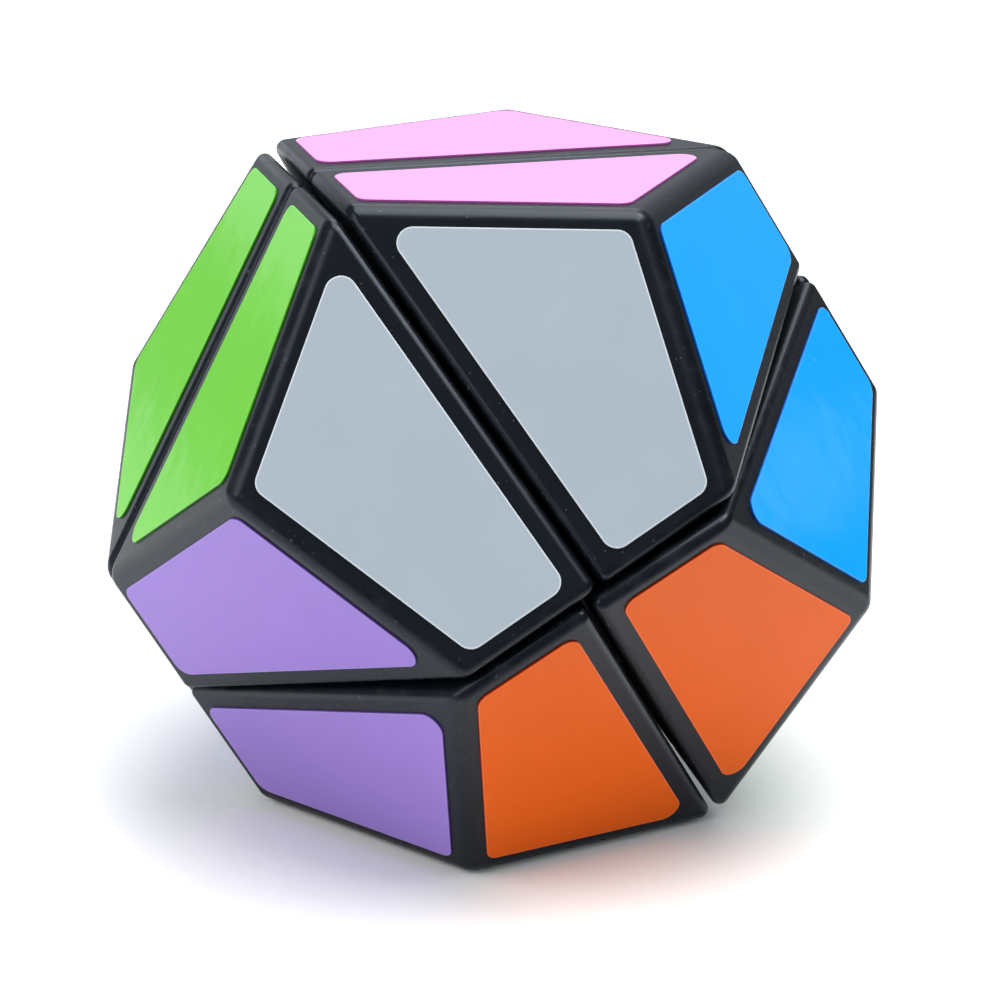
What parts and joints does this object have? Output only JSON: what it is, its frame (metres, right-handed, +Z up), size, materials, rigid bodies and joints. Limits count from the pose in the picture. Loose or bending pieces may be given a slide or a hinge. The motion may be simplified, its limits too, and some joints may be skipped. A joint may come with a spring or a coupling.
{
  "type": "dodecahedron twisty puzzle",
  "caption": "Dodecahedron twist puzzle in satin black plastic with coloured stickers; its halves turn on a hidden spring-loaded core.",
  "frame": {"origin": "on the ground, below the puzzle's middle: the bottom centre of its bounding box, on the face it rests on", "axes": "+Z up out of the resting face; +X to the right, towards the side where the resting face meets its cut edge; -Y towards the grey face"},
  "size_m": [0.0812, 0.0784, 0.0678],
  "materials": {
    "shell_black_plastic": "satin moulded ABS",
    "inner_black_plastic": "satin moulded ABS",
    "core_plastic": "plain moulded nylon",
    "screw_steel": "plated",
    "spring_steel": "drawn wire",
    "washer_steel": "plated",
    "vinyl_pink": "semi-gloss vinyl sticker",
    "vinyl_light_green": "semi-gloss vinyl sticker",
    "vinyl_grey": "semi-gloss vinyl sticker",
    "vinyl_purple": "semi-gloss vinyl sticker",
    "vinyl_orange": "semi-gloss vinyl sticker",
    "vinyl_sky_blue": "semi-gloss vinyl sticker",
    "vinyl_cream": "semi-gloss vinyl sticker",
    "vinyl_dark_green": "semi-gloss vinyl sticker",
    "vinyl_yellow": "semi-gloss vinyl sticker",
    "vinyl_dark_blue": "semi-gloss vinyl sticker",
    "vinyl_red": "semi-gloss vinyl sticker",
    "vinyl_white": "semi-gloss vinyl sticker"
  },
  "bodies": {
    "middle_slice": {"core": "core_plastic", "screws": "screw_steel", "springs": "spring_steel", "washers": "washer_steel", "side_centres": "inner_black_plastic", "middle_edges": "inner_black_plastic"},
    "upper_half": {"cap_upper_front_left": "shell_black_plastic", "cap_upper_front_right": "shell_black_plastic", "cap_upper_back_left": "shell_black_plastic", "cap_upper_back_right": "shell_black_plastic", "foot_upper_front_left": "inner_black_plastic", "foot_upper_front_right": "inner_black_plastic", "foot_upper_back_left": "inner_black_plastic", "foot_upper_back_right": "inner_black_plastic", "upper_centre": "inner_black_plastic", "upper_edges": "inner_black_plastic", "sticker_light_green_front": "vinyl_light_green", "sticker_purple_upper": "vinyl_purple", "sticker_grey_left": "vinyl_grey", "sticker_pink_front": "vinyl_pink", "sticker_sky_blue_upper": "vinyl_sky_blue", "sticker_grey_right": "vinyl_grey", "sticker_light_green_back": "vinyl_light_green", "sticker_dark_blue_upper": "vinyl_dark_blue", "sticker_red_left": "vinyl_red", "sticker_pink_back": "vinyl_pink", "sticker_yellow_upper": "vinyl_yellow", "sticker_red_right": "vinyl_red"},
    "lower_half": {"cap_lower_front_left": "shell_black_plastic", "cap_lower_front_right": "shell_black_plastic", "cap_lower_back_left": "shell_black_plastic", "cap_lower_back_right": "shell_black_plastic", "foot_lower_front_left": "inner_black_plastic", "foot_lower_front_right": "inner_black_plastic", "foot_lower_back_left": "inner_black_plastic", "foot_lower_back_right": "inner_black_plastic", "lower_centre": "inner_black_plastic", "lower_edges": "inner_black_plastic", "sticker_cream_front": "vinyl_cream", "sticker_purple_lower": "vinyl_purple", "sticker_orange_left": "vinyl_orange", "sticker_dark_green_front": "vinyl_dark_green", "sticker_sky_blue_lower": "vinyl_sky_blue", "sticker_orange_right": "vinyl_orange", "sticker_cream_back": "vinyl_cream", "sticker_dark_blue_lower": "vinyl_dark_blue", "sticker_white_left": "vinyl_white", "sticker_dark_green_back": "vinyl_dark_green", "sticker_yellow_lower": "vinyl_yellow", "sticker_white_right": "vinyl_white"}
  },
  "joints": [
    {"name": "upper_half_turn", "type": "hinge", "parent": "middle_slice", "child": "upper_half", "pos_m": [0, 0, 0.03361], "axis": [-0.5257, 0, 0.8507], "continuous": true},
    {"name": "lower_half_turn", "type": "hinge", "parent": "middle_slice", "child": "lower_half", "pos_m": [0, 0, 0.03361], "axis": [-0.5257, 0, 0.8507], "continuous": true}
  ]
}
